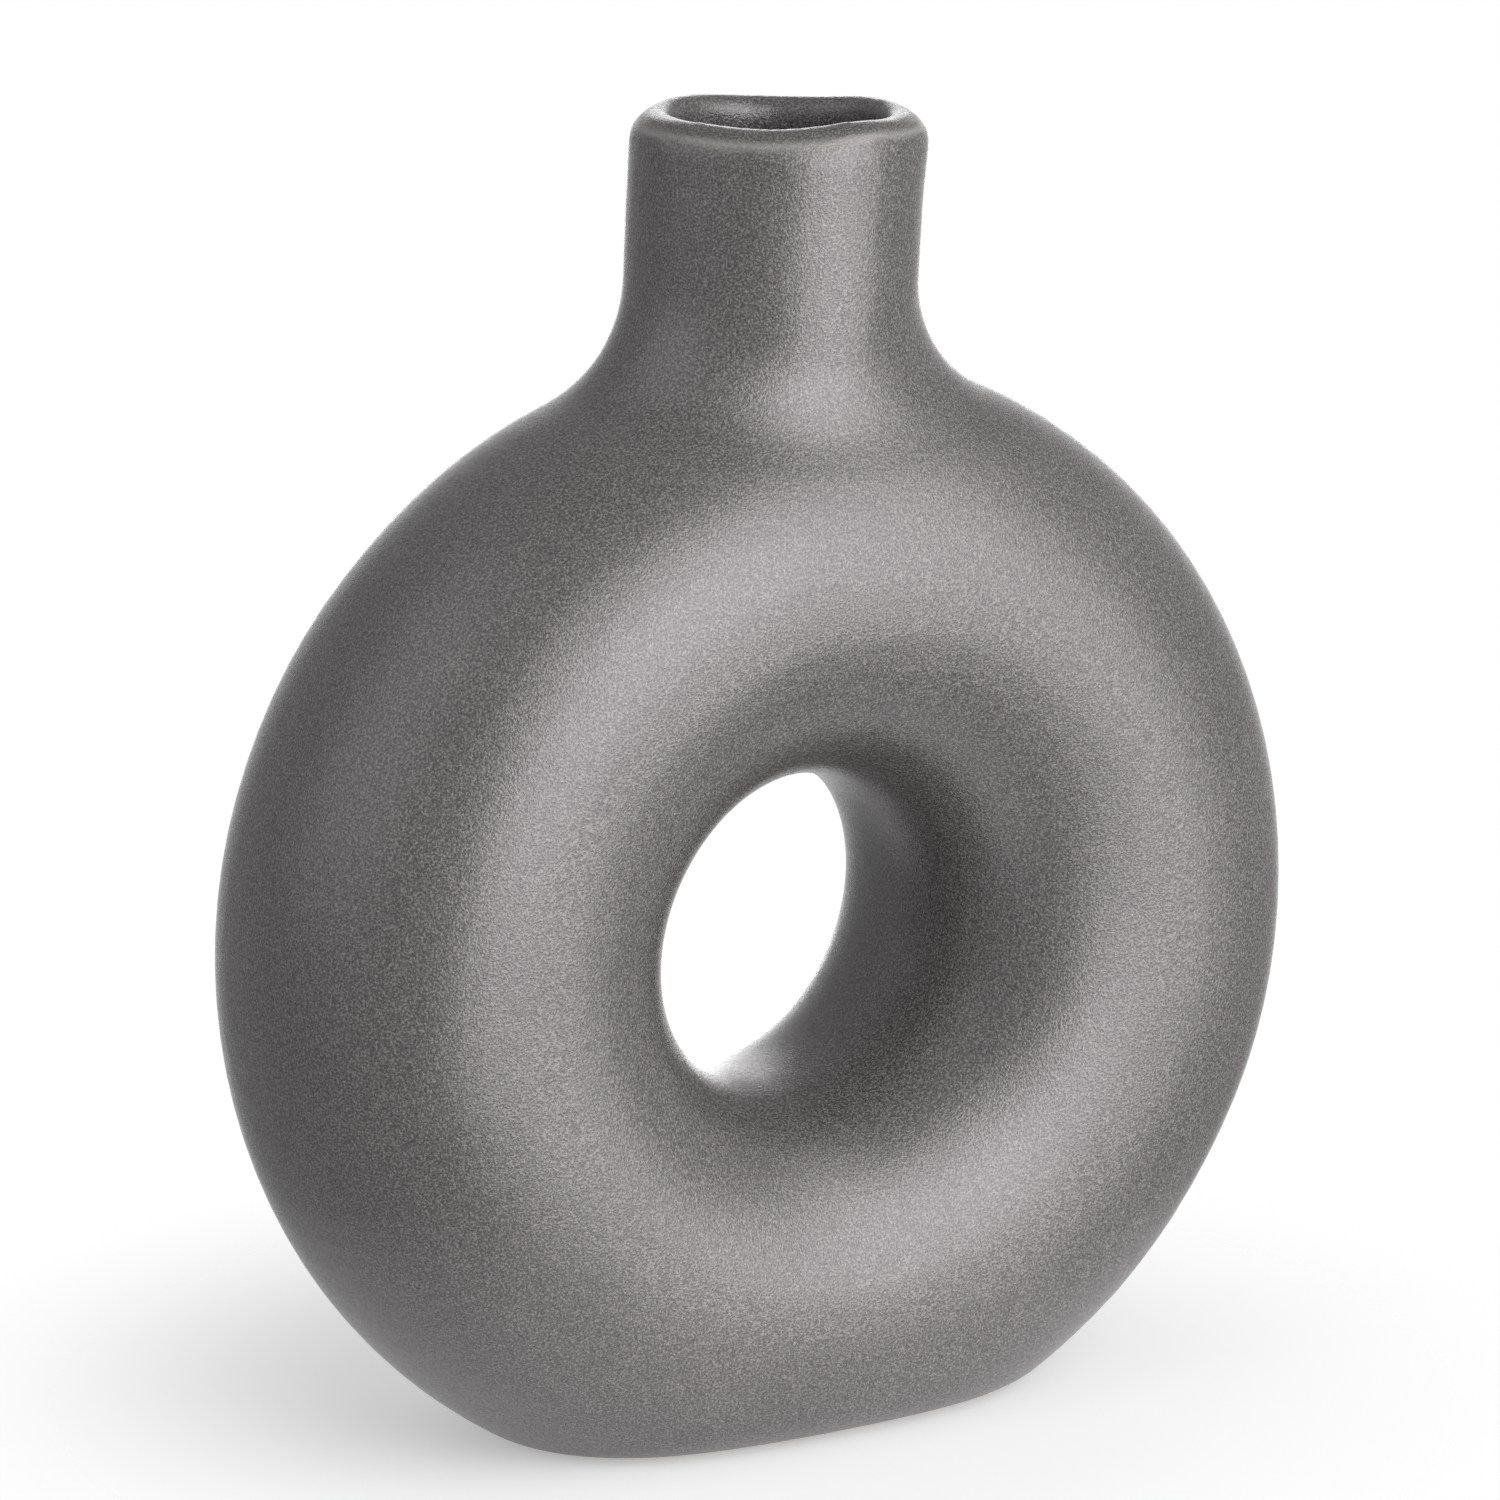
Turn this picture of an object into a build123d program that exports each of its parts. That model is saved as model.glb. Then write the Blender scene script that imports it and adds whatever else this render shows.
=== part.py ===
from build123d import *
import os

# Donut vase: a hollow stoneware ring on a flat foot, with a short round neck on its crown.
#
# It is built as a potter joins it. Two moulded half rings meet on the ring's mid-plane, and the neck stands
# on the collar that they form. Each joint has its layer of clay slip. A matte glaze coats the outside, the
# lip and the inside of the mouth, and a liner glaze makes the rest of the inside watertight.
#
# Frame: origin at the middle of the foot, X across the ring, -Y the front, Z up. Lengths are in millimetres
# and angles in degrees. Outside sizes are measured on the glazed surface.

# Ring
RING_OUTER_RADIUS = 80.0
HOLE_RADIUS = 21.4
RING_DEPTH = 60.0
# How much of the ring's lowest point is cut away for the foot, and the rounding of the edge of that cut
FOOT_CUT = 10.6
FOOT_ROUNDING = 11.0
# Handles of the section's curve, as shares of its half-sizes: along the crown, and beside the rim
CROWN_HANDLE_SHARE = 0.96
RIM_HANDLE_SHARE = 0.31

# Neck, whose height is measured from the ring's crown to the middle of the mouth
NECK_HEIGHT = 33.2
MOUTH_RADIUS = 20.3
MOUTH_OFFSET = 3.8
MOUTH_TILT_BACK = 3.8
MOUTH_TILT_RIGHT = 2.7
NECK_ROOT_RADIUS = 20.1
NECK_ROOT_OFFSET = 2.0
NECK_FILLET = 20.5
# Height of the neck's joint over the ring's crown
NECK_JOINT_RISE = 8.0

# Walls, joints and coats
WALL = 5.2
SLIP = 0.8
GLAZE = 0.4
# Height of the band round the foot that is wiped free of glaze
BARE_BAND = 0.6
# Shares of the wall that the lip's outer and inner edges are rounded by
LIP_OUTER_SHARE = 0.72
LIP_INNER_SHARE = 0.24

# Places worked out from the sizes above
RING_MIDDLE_RADIUS = (RING_OUTER_RADIUS + HOLE_RADIUS) / 2
RING_CENTRE_HEIGHT = RING_OUTER_RADIUS - FOOT_CUT
RING_MIDDLE_HEIGHT = RING_CENTRE_HEIGHT + RING_MIDDLE_RADIUS
CROWN_HEIGHT = RING_CENTRE_HEIGHT + RING_OUTER_RADIUS
MOUTH_HEIGHT = CROWN_HEIGHT + NECK_HEIGHT
JOINT_HEIGHT = CROWN_HEIGHT + NECK_JOINT_RISE
LIP_OUTER_ROUNDING = LIP_OUTER_SHARE * WALL
LIP_INNER_ROUNDING = LIP_INNER_SHARE * WALL
CUT_SPAN = RING_OUTER_RADIUS + MOUTH_HEIGHT

# Depths under the glazed surface
CLAY_INSET = GLAZE
MIDWALL_INSET = GLAZE + WALL / 2
CAVITY_INSET = GLAZE + WALL
LINER_INSET = GLAZE + WALL + GLAZE


def beyond(plane):
    """Block that fills the side of a plane that its normal points to."""
    return plane * Pos(0, 0, CUT_SPAN) * Box(2 * CUT_SPAN, 2 * CUT_SPAN, 2 * CUT_SPAN)


def above(height):
    return beyond(Plane((0, 0, height)))


def below(height):
    return beyond(Plane((0, 0, height), z_dir=(0, 0, -1)))


def behind(depth):
    return beyond(Plane((0, depth, 0), z_dir=(0, 1, 0)))


def before(depth):
    return beyond(Plane((0, depth, 0), z_dir=(0, -1, 0)))


def ring(inset):
    """Solid ring whose surface lies inset under the glazed one."""
    half_width = (RING_OUTER_RADIUS - HOLE_RADIUS) / 2 - inset
    half_depth = RING_DEPTH / 2 - inset
    # The middle of a fifth-degree curve weighs its inner points 10 and 20 in 32, and it has to lie on the rim
    rim_share = (32 - 10 * CROWN_HANDLE_SHARE) / 20
    halves = []
    for side in (1, -1):
        crown_handle = RING_MIDDLE_RADIUS + side * CROWN_HANDLE_SHARE * half_width
        rim_handle = RING_MIDDLE_RADIUS + side * rim_share * half_width
        halves.append(
            Bezier(
                (RING_MIDDLE_RADIUS, -half_depth),
                (crown_handle, -half_depth),
                (rim_handle, -RIM_HANDLE_SHARE * half_depth),
                (rim_handle, RIM_HANDLE_SHARE * half_depth),
                (crown_handle, half_depth),
                (RING_MIDDLE_RADIUS, half_depth),
            )
        )
    # A quarter turn puts the start of the revolution at the bottom, where the foot cuts it away
    return Pos(0, 0, RING_CENTRE_HEIGHT) * Rot(0, 90, 0) * revolve(make_face(halves), Axis.Y)


def neck_section(height, inset):
    """Round section of the neck, whose sides are straight through the sizes at the crown and at the mouth."""
    climb_share = (height - CROWN_HEIGHT) / NECK_HEIGHT
    radius = NECK_ROOT_RADIUS + climb_share * (MOUTH_RADIUS - NECK_ROOT_RADIUS)
    offset = NECK_ROOT_OFFSET + climb_share * (MOUTH_OFFSET - NECK_ROOT_OFFSET)
    # The circle starts at the back, clear of the plane where the halves meet
    return Pos(offset, 0, height) * Rot(0, 0, 90) * Circle(radius - inset)


def column(inset):
    """Round column from the middle of the ring's tube to well past the mouth."""
    top = MOUTH_HEIGHT + MOUTH_RADIUS
    return loft([neck_section(RING_MIDDLE_HEIGHT, inset), neck_section(top, inset)], ruled=True)


def ring_and_column(inset, cut_off=None):
    """Ring and column in one, less a part cut off, with a hollow fillet round the neck's root."""
    round_part = ring(inset)
    upright_part = column(inset)
    if cut_off:
        round_part -= cut_off
        upright_part -= cut_off
    joined = round_part + upright_part
    root_edges = new_edges(round_part, upright_part, combined=joined)
    return fillet(root_edges, NECK_FILLET + inset)


def mouth_plane(inset):
    """Plane of the rim, which leans a little to the back and to the right."""
    level = Plane((MOUTH_OFFSET, 0, MOUTH_HEIGHT))
    return level.rotated((-MOUTH_TILT_BACK, MOUTH_TILT_RIGHT, 0)).offset(-inset)


def outer_form(inset):
    """Closed outer form, cut to the rim above and flat at the foot."""
    return ring_and_column(inset) - beyond(mouth_plane(inset)) - below(0)


def round_foot(body, inset):
    """The form, or a slice of it, with the curved edges of its foot rounded."""
    foot = body.faces().sort_by(Axis.Z)[0]
    return fillet(foot.edges().filter_by(GeomType.LINE, reverse=True), FOOT_ROUNDING - inset)


def rim_face(shell):
    return shell.faces().filter_by(GeomType.PLANE).sort_by(Axis.Z)[-1]


def round_lip(shell, coat):
    """The shell with both edges of its rim rounded, by more where a coat covers them."""
    shell = fillet(rim_face(shell).outer_wire().edges(), LIP_OUTER_ROUNDING + coat)
    return fillet(rim_face(shell).inner_wires()[0].edges(), LIP_INNER_ROUNDING + coat)


def cavity(inset, cut_off=None):
    """Inner form, with its flat floor as far above the foot as its walls are from the bare clay."""
    return ring_and_column(inset, cut_off) - below(inset - CLAY_INSET)


def vessel(outer_inset, inner_inset, coat):
    """Hollow vase between two depths, with a rounded foot and lip."""
    shell = round_foot(outer_form(outer_inset), outer_inset) - cavity(inner_inset)
    return round_lip(shell, coat)


def front_clay(depth):
    """Clay of the hollow ring and its collar, from the front to a given depth."""
    form = ring_and_column(CLAY_INSET, behind(depth)) - above(JOINT_HEIGHT - SLIP / 2) - below(0)
    return round_foot(form, CLAY_INSET) - cavity(CAVITY_INSET, behind(depth))


def clay_pieces():
    """Half rings, neck and the slip in the three joints between them."""
    front_shell = front_clay(-SLIP / 2)
    ring_seams = front_clay(SLIP / 2) - before(-SLIP / 2)
    hole_seam, outer_seam = ring_seams.solids().sort_by(SortBy.VOLUME)
    collar_and_neck = outer_form(CLAY_INSET) - below(JOINT_HEIGHT - SLIP / 2) - cavity(CAVITY_INSET)
    return {
        "front_shell": front_shell,
        "back_shell": mirror(front_shell, about=Plane.XZ),
        "outer_seam_slip": outer_seam,
        "hole_seam_slip": hole_seam,
        "neck_seam_slip": collar_and_neck - above(JOINT_HEIGHT + SLIP / 2),
        "neck": round_lip(collar_and_neck - below(JOINT_HEIGHT + SLIP / 2), 0),
    }


def glaze_coats():
    """Matte coat outside and down into the mouth as far as the joint, and the liner from there on."""
    glazed = vessel(0, LINER_INSET, GLAZE) - below(BARE_BAND)
    clay = vessel(CLAY_INSET, CAVITY_INSET, 0)
    lined_part = ring_and_column(MIDWALL_INSET) - above(JOINT_HEIGHT)
    return {
        "matte_glaze": glazed - clay - lined_part,
        "liner_glaze": cavity(CAVITY_INSET) - cavity(LINER_INSET) - above(JOINT_HEIGHT),
    }


os.makedirs("parts", exist_ok=True)
for node, shape in {**clay_pieces(), **glaze_coats()}.items():
    export_step(shape, f"parts/{node}.step")
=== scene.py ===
import math

import bmesh
import bpy
import numpy as np
from mathutils import Matrix, Vector
from mathutils.bvhtree import BVHTree


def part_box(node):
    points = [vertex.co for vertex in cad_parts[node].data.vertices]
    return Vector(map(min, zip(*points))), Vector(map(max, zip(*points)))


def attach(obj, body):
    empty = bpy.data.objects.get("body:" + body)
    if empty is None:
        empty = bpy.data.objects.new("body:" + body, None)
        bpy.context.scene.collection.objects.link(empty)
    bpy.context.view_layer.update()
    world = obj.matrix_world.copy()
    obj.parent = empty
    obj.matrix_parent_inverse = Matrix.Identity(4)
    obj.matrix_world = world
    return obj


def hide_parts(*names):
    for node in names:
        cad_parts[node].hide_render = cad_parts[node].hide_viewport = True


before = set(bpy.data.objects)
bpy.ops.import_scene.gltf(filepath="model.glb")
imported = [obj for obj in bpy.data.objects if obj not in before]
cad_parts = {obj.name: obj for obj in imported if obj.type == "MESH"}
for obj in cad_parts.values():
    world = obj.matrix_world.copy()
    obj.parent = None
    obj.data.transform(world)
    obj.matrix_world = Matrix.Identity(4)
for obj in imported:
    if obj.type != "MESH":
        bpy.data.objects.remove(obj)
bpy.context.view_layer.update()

# Donut vase: the glaze coat is remade as a slightly uneven, hand-finished skin, the neck's clay
# follows its rim, and every surface gets its finish. Lengths are in metres, in the model's frame.

MM = 0.001
WHITE = (1, 1, 1, 1)

# Viewpoint of the photograph, with the azimuth counted from the front towards the left
IMAGE_PIXELS = 1500
PIXELS_PER_MM = 7.26
CAMERA_AZIMUTH = math.radians(31.59)
CAMERA_ELEVATION = math.radians(14.97)
CAMERA_DISTANCE = 1500 * MM
CAMERA_CLIP_START = 50 * MM
AIM_RIGHT = -0.711 * MM
AIM_HEIGHT = 93.26 * MM
SENSOR_WIDTH = 36.0


def direction(azimuth, elevation):
    """Unit vector from the vase, with the azimuth counted from the front towards the right."""
    level = math.cos(elevation)
    return Vector((math.sin(azimuth) * level, -math.cos(azimuth) * level, math.sin(elevation)))


def add_object(name, data):
    added = bpy.data.objects.new(name, data)
    bpy.context.scene.collection.objects.link(added)
    return added


# Materials

# Colours by noise are stops of a ramp, ranges run from low to high noise, and bumps are depth and
# strength. The middle of a noise is where most of its values lie.
NOISE_MIDDLE = (0.3, 0.7)

GLAZE_GRAIN_SIZE = 0.31 * MM
GLAZE_GRAIN_DETAIL = 1.5
GLAZE_GRAIN_COLOURS = (
    (0.30, (0.042, 0.040, 0.039)),
    (0.50, (0.106, 0.102, 0.099)),
    (0.70, (0.230, 0.220, 0.213)),
)
GLAZE_GRAIN_BUMP = (0.12 * MM, 0.6)
GLAZE_RIPPLE_SIZE = 2.6 * MM
GLAZE_RIPPLE_DETAIL = 2.0
GLAZE_RIPPLE_BUMP = (0.05 * MM, 0.35)
GLAZE_CLOUD_SIZE = 16 * MM
GLAZE_CLOUD_TINT = (0.93, 1.06)
# Paler colour painted along the lip's outer edge as a painted highlight
GLAZE_LIP_HIGHLIGHT_COLOUR = (0.30, 0.29, 0.28, 1)
GLAZE_ROUGHNESS = (0.30, 0.23)
GLAZE_IOR = 1.86
GLAZE_SPECULAR_TINT = (1.0, 0.942, 0.968, 1)

# Clays, as the colours of body and grit and the size of the grit
STONEWARE = ((0.52, 0.47, 0.41), (0.34, 0.29, 0.24), 0.8 * MM)
CLAY_SLIP = ((0.58, 0.53, 0.47), (0.45, 0.40, 0.34), 0.4 * MM)
# Noise at which the grit starts to turn into the body, and at which it has
CLAY_GRIT_STOPS = (0.32, 0.46)
CLAY_BLOOM_SIZE = 9 * MM
CLAY_BLOOM_TINT = (0.90, 1.05)
CLAY_ROUGHNESS = (0.95, 0.80)
CLAY_BUMP = (0.10 * MM, 0.5)

LINER_POOL_SIZE = 7 * MM
LINER_POOL_COLOURS = ((0.30, (0.045, 0.043, 0.041)), (0.70, (0.085, 0.081, 0.078)))
LINER_ROUGHNESS = (0.20, 0.32)
LINER_BUMP = (0.10 * MM, 0.3)


def new_material(name):
    material = bpy.data.materials.new(name)
    material.use_nodes = True
    nodes = material.node_tree.nodes
    return material, nodes, material.node_tree.links, nodes["Principled BSDF"]


def noise(nodes, links, size, detail=3.0):
    """Noise over the piece's own coordinates, with spots of about the given size."""
    place = nodes.new("ShaderNodeTexCoord")
    texture = nodes.new("ShaderNodeTexNoise")
    texture.inputs["Scale"].default_value = 1 / size
    texture.inputs["Detail"].default_value = detail
    links.new(place.outputs["Object"], texture.inputs["Vector"])
    return texture.outputs["Fac"]


def ramp(nodes, links, value, stops):
    node = nodes.new("ShaderNodeValToRGB")
    elements = node.color_ramp.elements
    while len(elements) < len(stops):
        elements.new(0.5)
    for element, (place, colour) in zip(elements, stops):
        element.position = place
        element.color = (*colour, 1)
    links.new(value, node.inputs["Fac"])
    return node.outputs["Color"]


def map_range(nodes, links, value, source, target, blend="LINEAR"):
    """Map one range of plain numbers to another."""
    node = nodes.new("ShaderNodeMapRange")
    node.interpolation_type = blend
    ends = ("From Min", "From Max", "To Min", "To Max")
    for end, number in zip(ends, (*source, *target)):
        node.inputs[end].default_value = number
    links.new(value, node.inputs["Value"])
    return node.outputs["Result"]


def spread(nodes, links, value, target):
    """Map the middle of a noise to a range of plain numbers."""
    return map_range(nodes, links, value, NOISE_MIDDLE, target)


def tint(nodes, links, colour, value, target):
    """Colour made darker and lighter by a noise."""
    node = nodes.new("ShaderNodeMix")
    node.data_type = "RGBA"
    node.blend_type = "MULTIPLY"
    node.inputs["Factor"].default_value = 1
    links.new(colour, node.inputs["A"])
    links.new(spread(nodes, links, value, target), node.inputs["B"])
    return node.outputs["Result"]


def bump(nodes, links, height, depth_and_strength, below=None):
    node = nodes.new("ShaderNodeBump")
    for name, number in zip(("Distance", "Strength"), depth_and_strength):
        node.inputs[name].default_value = number
    links.new(height, node.inputs["Height"])
    if below:
        links.new(below, node.inputs["Normal"])
    return node.outputs["Normal"]


def matte_glaze_material():
    """Sandy matte glaze: warm grey with fine pale and dark grains that break up its satin sheen,
    and a painted highlight of paler colour along the lip's outer edge.
    """
    material, nodes, links, shader = new_material("matte_glaze")
    grain = noise(nodes, links, GLAZE_GRAIN_SIZE, GLAZE_GRAIN_DETAIL)
    clouds = noise(nodes, links, GLAZE_CLOUD_SIZE)
    sand = ramp(nodes, links, grain, GLAZE_GRAIN_COLOURS)
    # Painted highlight: paler colour along the lip's outer edge, where it slopes towards the light
    edge = nodes.new("ShaderNodeAttribute")
    edge.attribute_name = "painted_lip_highlight"
    highlighted_glaze = nodes.new("ShaderNodeMix")
    highlighted_glaze.data_type = "RGBA"
    links.new(edge.outputs["Fac"], highlighted_glaze.inputs["Factor"])
    links.new(tint(nodes, links, sand, clouds, GLAZE_CLOUD_TINT), highlighted_glaze.inputs["A"])
    highlighted_glaze.inputs["B"].default_value = GLAZE_LIP_HIGHLIGHT_COLOUR
    links.new(highlighted_glaze.outputs["Result"], shader.inputs["Base Color"])
    links.new(spread(nodes, links, grain, GLAZE_ROUGHNESS), shader.inputs["Roughness"])
    ripples = noise(nodes, links, GLAZE_RIPPLE_SIZE, GLAZE_RIPPLE_DETAIL)
    rippled = bump(nodes, links, ripples, GLAZE_RIPPLE_BUMP)
    links.new(bump(nodes, links, grain, GLAZE_GRAIN_BUMP, below=rippled), shader.inputs["Normal"])
    shader.inputs["IOR"].default_value = GLAZE_IOR
    shader.inputs["Specular Tint"].default_value = GLAZE_SPECULAR_TINT
    return material


def clay_material(name, body_colour, grit_colour, grit_size):
    """Fired clay, bare and dry, with grog specks and a faint bloom."""
    material, nodes, links, shader = new_material(name)
    grit = noise(nodes, links, grit_size)
    bloom = noise(nodes, links, CLAY_BLOOM_SIZE)
    body = ramp(nodes, links, grit, tuple(zip(CLAY_GRIT_STOPS, (grit_colour, body_colour))))
    links.new(tint(nodes, links, body, bloom, CLAY_BLOOM_TINT), shader.inputs["Base Color"])
    links.new(spread(nodes, links, grit, CLAY_ROUGHNESS), shader.inputs["Roughness"])
    links.new(bump(nodes, links, grit, CLAY_BUMP), shader.inputs["Normal"])
    return material


def liner_material():
    """Smooth dark liner glaze that has pooled a little unevenly."""
    material, nodes, links, shader = new_material("liner_glaze")
    pools = noise(nodes, links, LINER_POOL_SIZE)
    links.new(ramp(nodes, links, pools, LINER_POOL_COLOURS), shader.inputs["Base Color"])
    links.new(spread(nodes, links, pools, LINER_ROUGHNESS), shader.inputs["Roughness"])
    links.new(bump(nodes, links, pools, LINER_BUMP), shader.inputs["Normal"])
    return material


def dress(piece, material):
    piece.data.materials.clear()
    piece.data.materials.append(material)


# Glaze coat and neck

# Size of the skin's faces, and how near the solid coat it has to lie to be glazed
SKIN_VOXEL = 0.9 * MM
SKIN_REACH = 2 * MM
COAT_THICKNESS = 0.3 * MM
# Height of the band round the foot that is wiped free of glaze
BARE_BAND = 0.6 * MM
SMOOTHING_PASSES = 16
# Shares of the way to its neighbours' mean that a point goes, first inwards and then back out
SMOOTHING_SHARES = (0.5, -0.53)

# Swell of a hand-finished body, with the directions and starts of the three waves that make it up
BODY_WAVE_HEIGHT = 0.12 * MM
BODY_WAVE_LENGTH = 46 * MM
BODY_WAVE_DIRECTIONS = ((1.0, 0.0, 0.7), (0.3, 0.8, 0.0), (0.0, -0.5, 0.6))
BODY_WAVE_STARTS = (0.0, 1.1, 2.0)
# Height of the foot that the swell leaves plain, and the height above it over which it sets in
PLAIN_FOOT = 2 * MM
PLAIN_FOOT_FADE = 8 * MM

# Rises and dips of the rim: height, direction from the viewer's side towards the right, and spread,
# the last two in degrees
RIM_WAVES = (
    (-0.55 * MM, -3, 34),
    (0.35 * MM, 42, 18),
    (0.70 * MM, 131, 23),
    (0.70 * MM, -135, 28),
)
# Depths under the top of the neck at which these set in, and at which they are full
RIM_WAVE_START = 14 * MM
RIM_WAVE_FULL = 4 * MM
# Flare of the rim, and of the inside of the mouth alone: reach, direction and spread
RIM_FLARE = (0.35 * MM, 85, 50)
MOUTH_FLARE = (1.3 * MM, -160, 45)
MOUTH_FLARE_DEPTH = 6.5 * MM
# Distance from the neck's axis at which the inside of the lip turns into its crest, and the width
# of that turn
LIP_TURN_RADIUS = 16.4 * MM
LIP_TURN_WIDTH = 1.6 * MM
# Distance from the axis inside which a point's direction no longer counts in full
AXIS_CLEARANCE = 1 * MM
# Painted highlight: the glaze is painted paler along the lip's outer edge where it slopes towards
# the light: its slope, and its reach down from the top
LIP_HIGHLIGHT_SLOPE = math.radians(36)
LIP_HIGHLIGHT_SPREAD = math.radians(8)
LIP_HIGHLIGHT_REACH = 6 * MM
LIP_HIGHLIGHT_FADE = 2 * MM


def joined_nodes():
    """One mesh of all the solids, which touch, so that it can be remeshed as the whole vase."""
    whole = bmesh.new()
    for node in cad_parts.values():
        whole.from_mesh(node.data)
    mesh = bpy.data.meshes.new("whole_vase")
    whole.to_mesh(mesh)
    whole.free()
    return mesh


def applied_mesh(piece):
    """The piece's mesh with its modifiers applied."""
    evaluated = piece.evaluated_get(bpy.context.evaluated_depsgraph_get())
    return bpy.data.meshes.new_from_object(evaluated)


def even_mesh(mesh, voxel):
    """The mesh as even small faces."""
    carrier = add_object("even", mesh)
    remesh = carrier.modifiers.new("even", "REMESH")
    remesh.mode = "VOXEL"
    remesh.voxel_size = voxel
    even = applied_mesh(carrier)
    bpy.data.objects.remove(carrier)
    return even


def vectors_of(mesh, kind):
    """Places or normals of a mesh's points, one row each."""
    vectors = np.empty(len(mesh.vertices) * 3)
    mesh.vertices.foreach_get(kind, vectors)
    return vectors.reshape(-1, 3)


def edges_of(mesh):
    edges = np.empty(len(mesh.edges) * 2, dtype=np.int64)
    mesh.edges.foreach_get("vertices", edges)
    return edges.reshape(-1, 2)


def move_points(mesh, points):
    mesh.vertices.foreach_set("co", points.ravel())
    mesh.update()


def neighbour_mean(points, edges):
    ends = np.concatenate((edges[:, 0], edges[:, 1]))
    others = np.concatenate((edges[:, 1], edges[:, 0]))
    total = len(points)
    count = np.maximum(np.bincount(ends, minlength=total), 1)
    sums = [np.bincount(ends, weights=points[others, axis], minlength=total) for axis in range(3)]
    return np.stack(sums, axis=1) / count[:, None]


def smoothed(points, edges):
    """Points smoothed in passes inwards and outwards, which keep the size of the form."""
    for _ in range(SMOOTHING_PASSES):
        for share in SMOOTHING_SHARES:
            points = points + share * (neighbour_mean(points, edges) - points)
    return points


def smooth_step(value):
    value = np.clip(value, 0, 1)
    return value * value * (3 - 2 * value)


def body_wave(points):
    """Soft, uneven swell of the surface, between -1 and 1."""
    turns = 2 * math.pi * points / BODY_WAVE_LENGTH
    first, second, third = np.sin(turns @ np.transpose(BODY_WAVE_DIRECTIONS) + BODY_WAVE_STARTS).T
    return (first * second + third) / 2


def rim_bell(turn, bell):
    """Bell-shaped height round the rim."""
    height, azimuth, width = bell
    offset = np.angle(np.exp(1j * (turn - math.radians(azimuth))))
    return height * np.exp(-((offset / math.radians(width)) ** 2))


def neck_place():
    """The neck's middle, seen from above, and the height of its top."""
    low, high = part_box("neck")
    return np.array([(low[axis] + high[axis]) / 2 for axis in range(2)]), high[2]


def rim_shift(points):
    """How far the rim's rises, dips and flares move each point."""
    middle, top = neck_place()
    outwards = points[:, :2] - middle
    drop = top - points[:, 2]
    turn = np.arctan2(outwards[:, 0], -outwards[:, 1]) + CAMERA_AZIMUTH
    near_rim = smooth_step((RIM_WAVE_START - drop) / (RIM_WAVE_START - RIM_WAVE_FULL))
    distance = np.maximum(np.linalg.norm(outwards, axis=1), AXIS_CLEARANCE)
    inside = smooth_step((LIP_TURN_RADIUS - distance) / LIP_TURN_WIDTH + 1)
    near_top = np.clip(1 - drop / MOUTH_FLARE_DEPTH, 0, 1) ** 2
    reach = rim_bell(turn, RIM_FLARE) * near_rim + rim_bell(turn, MOUTH_FLARE) * inside * near_top
    shift = np.empty_like(points)
    shift[:, :2] = outwards * (reach / distance)[:, None]
    shift[:, 2] = near_rim * sum(rim_bell(turn, wave) for wave in RIM_WAVES)
    return shift


def painted_lip_highlight(points, normals):
    """1 along the lip's outer edge, where the highlight is painted, falling to 0 on both sides of
    it.
    """
    middle, top = neck_place()
    faces_out = (normals[:, :2] * (points[:, :2] - middle)).sum(axis=1) > 0
    slope = np.arcsin(np.clip(normals[:, 2], -1, 1))
    edge = np.exp(-(((slope - LIP_HIGHLIGHT_SLOPE) / LIP_HIGHLIGHT_SPREAD) ** 2))
    return edge * faces_out * smooth_step((points[:, 2] - top + LIP_HIGHLIGHT_REACH) / LIP_HIGHLIGHT_FADE)


def neck_clay():
    """Clay of the neck, with the same uneven rim as the glaze over it."""
    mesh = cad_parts["neck"].data.copy()
    points = vectors_of(mesh, "co")
    move_points(mesh, points + rim_shift(points))
    clay = add_object("neck_clay", mesh)
    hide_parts("neck")
    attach(clay, "root")
    return clay


def glazed_skin():
    """Smooth skin where the solid coat lies: the outside, the lip and the inside of the mouth."""
    even = even_mesh(joined_nodes(), SKIN_VOXEL)
    move_points(even, smoothed(vectors_of(even, "co"), edges_of(even)))
    solid_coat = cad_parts["matte_glaze"].data
    tree = BVHTree.FromPolygons(
        [vertex.co for vertex in solid_coat.vertices],
        [polygon.vertices for polygon in solid_coat.polygons],
    )
    skin = bmesh.new()
    skin.from_mesh(even)
    off_coat = [v for v in skin.verts if tree.find_nearest(v.co, SKIN_REACH)[3] is None]
    bmesh.ops.delete(skin, geom=off_coat, context="VERTS")
    everything = skin.verts[:] + skin.edges[:] + skin.faces[:]
    bmesh.ops.bisect_plane(
        skin, geom=everything, plane_co=(0, 0, BARE_BAND), plane_no=(0, 0, 1), clear_inner=True
    )
    mesh = bpy.data.meshes.new("glaze_coat")
    skin.to_mesh(mesh)
    skin.free()
    return mesh


def make_uneven(mesh):
    """Give the skin its swell and its uneven rim, and mark on it where the lip's highlight is
    painted.
    """
    points = vectors_of(mesh, "co")
    normals = vectors_of(mesh, "normal")
    clear_of_foot = smooth_step((points[:, 2] - PLAIN_FOOT) / PLAIN_FOOT_FADE)
    swell = BODY_WAVE_HEIGHT * body_wave(points) * clear_of_foot
    points = points + normals * swell[:, None]
    points = points + rim_shift(points)
    # Where the lip's painted highlight lies
    marks = mesh.attributes.new("painted_lip_highlight", "FLOAT", "POINT")
    marks.data.foreach_set("value", painted_lip_highlight(points, normals))
    mesh.polygons.foreach_set("use_smooth", [True] * len(mesh.polygons))
    move_points(mesh, points)


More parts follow.
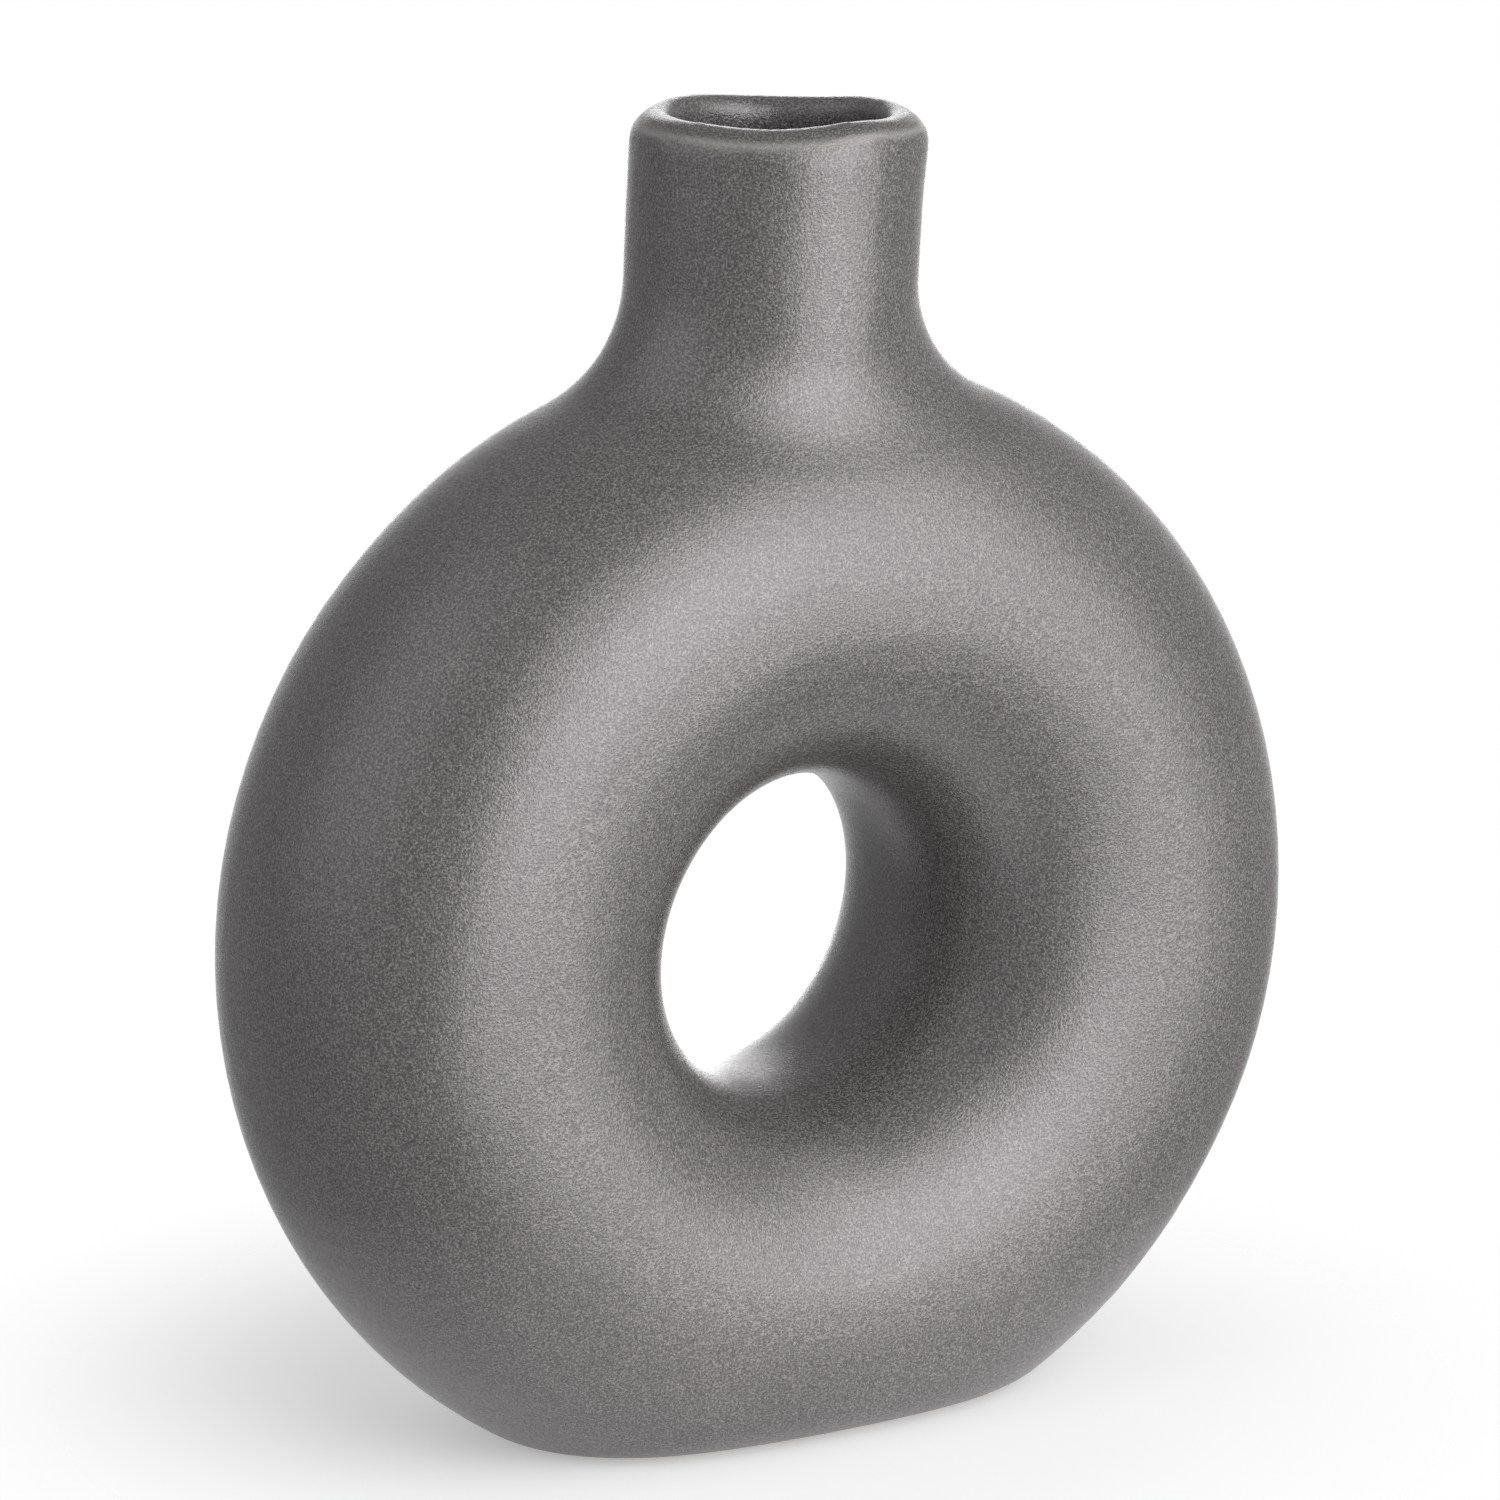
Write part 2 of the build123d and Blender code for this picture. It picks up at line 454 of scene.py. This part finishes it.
def glaze_coat():
    """The skin as a thin closed coat."""
    mesh = glazed_skin()
    make_uneven(mesh)
    coat = add_object("glaze_coat", mesh)
    thickness = coat.modifiers.new("thickness", "SOLIDIFY")
    thickness.thickness = COAT_THICKNESS
    thickness.offset = -1
    coat.data = applied_mesh(coat)
    coat.modifiers.clear()
    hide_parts("matte_glaze")
    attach(coat, "root")
    return coat


# Studio

FLOOR_SIZE = 3.0
FLOOR_COLOUR = (0.80, 0.80, 0.80, 1)
FLOOR_GLOW = 0.36
# Distances from the middle between which the floor fades into the white around it
FLOOR_FADE = (0.05, 0.125)
ROOM_LEVEL = 0.34
BACKDROP_LEVEL = 1.3
# How far the backdrop's middle lies under the horizon
BACKDROP_DIP = math.radians(8)
# Half-widths of the backdrop as the vase sees it, where it starts to fade and where it ends
BACKDROP_FULL = math.radians(5)
BACKDROP_END = math.radians(31)
# Softboxes: azimuth and elevation of the middle in degrees, distance, width and height, and
# brightness of the face
SOFTBOXES = {
    "front_softbox": (18, 13, 1.05, (1.75, 1.85), 1.04),
    "middle_softbox": (18, 12, 1.00, (1.04, 1.16), 1.5),
    "key_softbox": (14, 10, 0.95, (0.46, 0.46), 1.0),
    "top_softbox": (62, 50, 1.10, (0.80, 0.60), 0.5),
    "fill_softbox": (-100, 30, 1.10, (1.10, 1.30), 0.42),
    "back_softbox": (149, 12, 1.10, (0.30, 0.18), 2.4),
    "sweep_softbox": (149, -9, 1.10, (0.40, 0.20), 3.2),
}


def add_camera():
    data = bpy.data.cameras.new("camera")
    data.sensor_width = SENSOR_WIDTH
    data.lens = SENSOR_WIDTH * PIXELS_PER_MM / MM * CAMERA_DISTANCE / IMAGE_PIXELS
    data.clip_start = CAMERA_CLIP_START
    camera = add_object("camera", data)
    right = Vector((math.cos(CAMERA_AZIMUTH), -math.sin(CAMERA_AZIMUTH), 0))
    back = direction(-CAMERA_AZIMUTH, CAMERA_ELEVATION)
    aim = right * AIM_RIGHT + Vector((0, 0, AIM_HEIGHT))
    turn = Matrix((right, back.cross(right), back)).transposed()
    camera.matrix_world = Matrix.Translation(aim + back * CAMERA_DISTANCE) @ turn.to_4x4()
    bpy.context.scene.camera = camera


def add_softbox(name, azimuth, elevation, distance, size, level):
    """Flat lamp that faces the vase. Its level is the brightness of its face, where 1 is white."""
    data = bpy.data.lights.new(name, "AREA")
    data.shape = "RECTANGLE"
    data.size, data.size_y = size
    data.energy = level * math.pi * size[0] * size[1]
    lamp = add_object(name, data)
    towards = direction(math.radians(azimuth), math.radians(elevation))
    lamp.rotation_euler = towards.to_track_quat("Z", "Y").to_euler()
    lamp.location = towards * distance + Vector((0, 0, AIM_HEIGHT))
    lamp.visible_camera = False


def seen_by(nodes, links, kinds):
    """1 for rays of the given kinds, else 0."""
    path = nodes.new("ShaderNodeLightPath")
    total = path.outputs[kinds[0]]
    for kind in kinds[1:]:
        either = nodes.new("ShaderNodeMath")
        either.operation = "MAXIMUM"
        links.new(total, either.inputs[0])
        links.new(path.outputs[kind], either.inputs[1])
        total = either.outputs["Value"]
    return total


def add_sky():
    """Backdrop behind the vase, dimmer room in front of it, and white for the viewer all round."""
    world = bpy.data.worlds.new("studio")
    bpy.context.scene.world = world
    world.use_nodes = True
    nodes = world.node_tree.nodes
    links = world.node_tree.links
    place = nodes.new("ShaderNodeTexCoord")
    facing = nodes.new("ShaderNodeVectorMath")
    facing.operation = "DOT_PRODUCT"
    facing.inputs[1].default_value = -direction(-CAMERA_AZIMUTH, BACKDROP_DIP)
    links.new(place.outputs["Generated"], facing.inputs[0])
    edges = (math.cos(BACKDROP_END), math.cos(BACKDROP_FULL))
    levels = (ROOM_LEVEL, BACKDROP_LEVEL)
    level = map_range(nodes, links, facing.outputs["Value"], edges, levels, "SMOOTHSTEP")
    seen = nodes.new("ShaderNodeMix")
    kinds = ("Is Camera Ray", "Is Transmission Ray")
    links.new(seen_by(nodes, links, kinds), seen.inputs["Factor"])
    links.new(level, seen.inputs["A"])
    seen.inputs["B"].default_value = 1
    background = nodes["Background"]
    background.inputs["Color"].default_value = WHITE
    links.new(seen.outputs["Result"], background.inputs["Strength"])


def floor_material():
    """Pale matte floor that glows for the viewer and fades out into the white around it."""
    material, nodes, links, shader = new_material("floor")
    shader.inputs["Base Color"].default_value = FLOOR_COLOUR
    shader.inputs["Roughness"].default_value = 1
    shader.inputs["Specular IOR Level"].default_value = 0
    shader.inputs["Emission Color"].default_value = WHITE
    glow = nodes.new("ShaderNodeMath")
    glow.operation = "MULTIPLY"
    glow.inputs[1].default_value = FLOOR_GLOW
    kinds = ("Is Camera Ray", "Is Glossy Ray", "Is Transmission Ray")
    links.new(seen_by(nodes, links, kinds), glow.inputs[0])
    links.new(glow.outputs["Value"], shader.inputs["Emission Strength"])
    place = nodes.new("ShaderNodeTexCoord")
    reach = nodes.new("ShaderNodeVectorMath")
    reach.operation = "LENGTH"
    links.new(place.outputs["Object"], reach.inputs[0])
    fade = map_range(nodes, links, reach.outputs["Value"], FLOOR_FADE, (1, 0), "SMOOTHSTEP")
    links.new(fade, shader.inputs["Alpha"])
    return material


def add_floor():
    """Floor that keeps the shadow of the vase."""
    mesh = bpy.data.meshes.new("floor")
    half = FLOOR_SIZE / 2
    corners = [(-half, -half, 0), (half, -half, 0), (half, half, 0), (-half, half, 0)]
    mesh.from_pydata(corners, [], [(0, 1, 2, 3)])
    floor = add_object("floor", mesh)
    dress(floor, floor_material())


def main():
    bpy.context.scene.view_settings.view_transform = "Standard"
    stoneware = clay_material("stoneware", *STONEWARE)
    slip = clay_material("clay_slip", *CLAY_SLIP)
    glaze = matte_glaze_material()
    finish = {
        "front_shell": stoneware,
        "back_shell": stoneware,
        "neck": stoneware,
        "outer_seam_slip": slip,
        "hole_seam_slip": slip,
        "neck_seam_slip": slip,
        "matte_glaze": glaze,
        "liner_glaze": liner_material(),
    }
    dress(glaze_coat(), glaze)
    dress(neck_clay(), stoneware)
    for node, material in finish.items():
        dress(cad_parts[node], material)
    add_camera()
    add_sky()
    for name, settings in SOFTBOXES.items():
        add_softbox(name, *settings)
    add_floor()


main()
